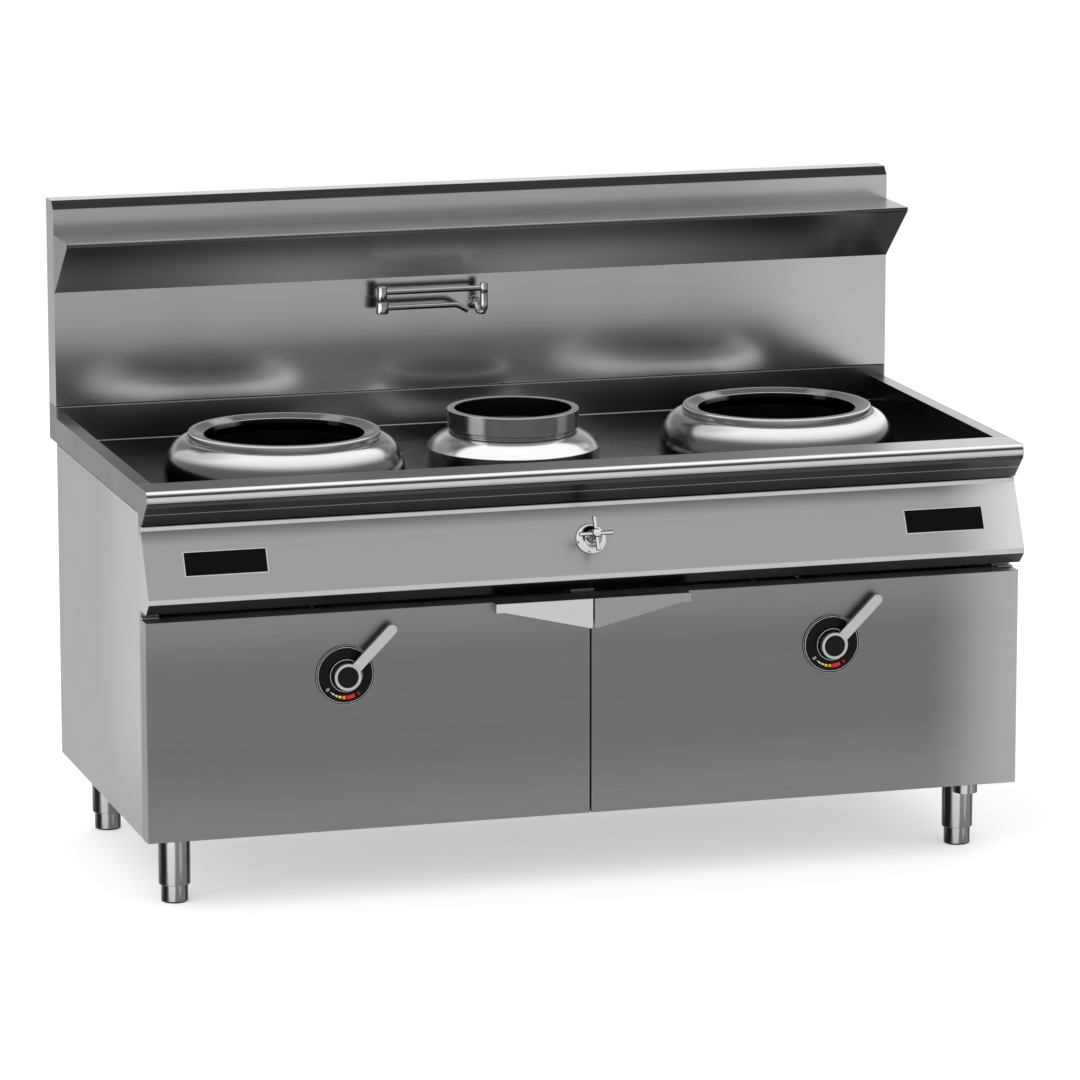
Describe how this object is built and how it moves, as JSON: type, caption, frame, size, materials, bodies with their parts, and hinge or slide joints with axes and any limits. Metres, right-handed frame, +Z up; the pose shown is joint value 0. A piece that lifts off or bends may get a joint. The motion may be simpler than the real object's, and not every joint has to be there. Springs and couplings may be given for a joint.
{
  "type": "wok range",
  "caption": "Free-standing gas wok range with sunken hob, lift-off wok rings, a pot ring, knee-lever valves on its doors, a tap, a folding spout and a wedge shelf.",
  "frame": {"origin": "middle of the bounding box on the floor", "axes": "+X to the right along the front, +Y from the front to the splashback, +Z up"},
  "size_m": [1.8, 0.9362, 1.3],
  "materials": {
    "side_panel_steel": "satin, brushed across",
    "door_steel": "satin, brushed across",
    "hob_steel": "bright satin, brushed across",
    "splash_steel": "satin, brushed across",
    "shelf_steel": "bright satin, brushed across",
    "fascia_steel": "satin, brushed across",
    "spun_steel": "polished, turned",
    "frame_steel": "mill finish",
    "leg_steel": "polished tube",
    "cast_iron": "cast, heat-stained",
    "chrome": "polished",
    "black_enamel": "black enamel with a coloured scale",
    "window_black": "gloss black",
    "cap_black": "satin black",
    "pipe_brass": "plain",
    "pipe_yellow": "yellow paint",
    "waste_plastic": "grey",
    "boot_black": "grey, dark foot edge"
  },
  "bodies": {
    "root": {"base_panel": "frame_steel", "burner_pipes": "frame_steel", "centre_post": "frame_steel", "control_fascia": "fascia_steel", "door_hinges": "frame_steel", "fascia_windows": "window_black", "frame_rails": "frame_steel", "front_header": "frame_steel", "gas_manifold": "pipe_yellow", "gas_valves": "pipe_brass", "hob_floor": "hob_steel", "hob_front_nosing": "hob_steel", "hob_left_rim": "hob_steel", "hob_rear_upstand": "hob_steel", "hob_right_rim": "hob_steel", "left_burner": "cast_iron", "left_combustion_bowl": "cast_iron", "left_side_panel": "side_panel_steel", "left_wok_dome": "spun_steel", "leg_tubes": "leg_steel", "pilot_burners": "pipe_brass", "pot_dome": "spun_steel", "pot_flue_box": "frame_steel", "rear_panel": "frame_steel", "right_burner": "cast_iron", "right_combustion_bowl": "cast_iron", "right_side_panel": "side_panel_steel", "right_wok_dome": "spun_steel", "shelf": "shelf_steel", "splashback_rear_cover": "frame_steel", "splashback_skin": "splash_steel", "spout_wall_elbow": "chrome", "tap_body": "chrome", "tap_escutcheon": "chrome", "waste_pipe": "waste_plastic", "water_pipes": "chrome"},
    "left_door": {"left_door_skin": "door_steel", "left_door_liner": "frame_steel", "left_door_pull": "door_steel", "left_dial_plate": "black_enamel"},
    "left_lever": {"left_knee_lever": "chrome", "left_lever_cap": "cap_black", "left_lever_spindle": "chrome"},
    "left_stem": {"left_valve_stem": "pipe_brass"},
    "left_ring": {"left_wok_ring": "spun_steel"},
    "right_door": {"right_door_skin": "door_steel", "right_door_liner": "frame_steel", "right_door_pull": "door_steel", "right_dial_plate": "black_enamel"},
    "right_lever": {"right_knee_lever": "chrome", "right_lever_cap": "cap_black", "right_lever_spindle": "chrome"},
    "right_stem": {"right_valve_stem": "pipe_brass"},
    "right_ring": {"right_wok_ring": "spun_steel"},
    "pot_grate": {"pot_ring": "spun_steel"},
    "tap_handle": {"tap_cross_handle": "chrome"},
    "spout_inner": {"spout_upper_arm": "chrome"},
    "spout_outer": {"spout_lower_arm": "chrome"},
    "strainer": {"waste_strainer": "hob_steel"},
    "feet": {"levelling_feet": "boot_black"}
  },
  "joints": [
    {"name": "left_door_hinge", "type": "hinge", "parent": "root", "child": "left_door", "pos_m": [-0.891, -0.37392, 0.37], "axis": [0, 0, -1], "range_deg": [0, 100]},
    {"name": "right_door_hinge", "type": "hinge", "parent": "root", "child": "right_door", "pos_m": [0.891, -0.37392, 0.37], "axis": [0, 0, 1], "range_deg": [0, 100]},
    {"name": "left_lever_turn", "type": "hinge", "parent": "left_door", "child": "left_lever", "pos_m": [-0.502, -0.41192, 0.463], "axis": [0, -1, 0], "range_deg": [0, 90]},
    {"name": "right_lever_turn", "type": "hinge", "parent": "right_door", "child": "right_lever", "pos_m": [0.502, -0.41192, 0.463], "axis": [0, -1, 0], "range_deg": [0, 90]},
    {"name": "left_valve_turn", "type": "hinge", "parent": "root", "child": "left_stem", "pos_m": [-0.502, -0.31192, 0.463], "axis": [0, -1, 0], "range_deg": [0, 90]},
    {"name": "right_valve_turn", "type": "hinge", "parent": "root", "child": "right_stem", "pos_m": [0.502, -0.31192, 0.463], "axis": [0, -1, 0], "range_deg": [0, 90]},
    {"name": "tap_turn", "type": "hinge", "parent": "root", "child": "tap_handle", "pos_m": [0, -0.41092, 0.705], "axis": [0, -0.8944, 0.4472], "range_deg": [0, 630]},
    {"name": "spout_inner_swing", "type": "hinge", "parent": "root", "child": "spout_inner", "pos_m": [0, 0.35808, 1.088], "axis": [0, 0, 1], "range_deg": [0, 180]},
    {"name": "spout_outer_swing", "type": "hinge", "parent": "spout_inner", "child": "spout_outer", "pos_m": [-0.2185, 0.35808, 1.056], "axis": [0, 0, -1], "range_deg": [0, 180]},
    {"name": "left_ring_lift", "type": "slide", "parent": "root", "child": "left_ring", "axis": [0, 0, 1], "range_m": [0, 0.12]},
    {"name": "right_ring_lift", "type": "slide", "parent": "root", "child": "right_ring", "axis": [0, 0, 1], "range_m": [0, 0.12]},
    {"name": "pot_ring_lift", "type": "slide", "parent": "root", "child": "pot_grate", "axis": [0, 0, 1], "range_m": [0, 0.12]},
    {"name": "strainer_lift", "type": "slide", "parent": "root", "child": "strainer", "axis": [0, 0, 1], "range_m": [0, 0.06]},
    {"name": "feet_screw_out", "type": "slide", "parent": "root", "child": "feet", "axis": [0, 0, -1], "range_m": [0, 0.025]}
  ],
  "couplings": [
    {"joint": "left_valve_turn", "follows": "left_lever_turn", "ratio": 1},
    {"joint": "right_valve_turn", "follows": "right_lever_turn", "ratio": 1}
  ]
}
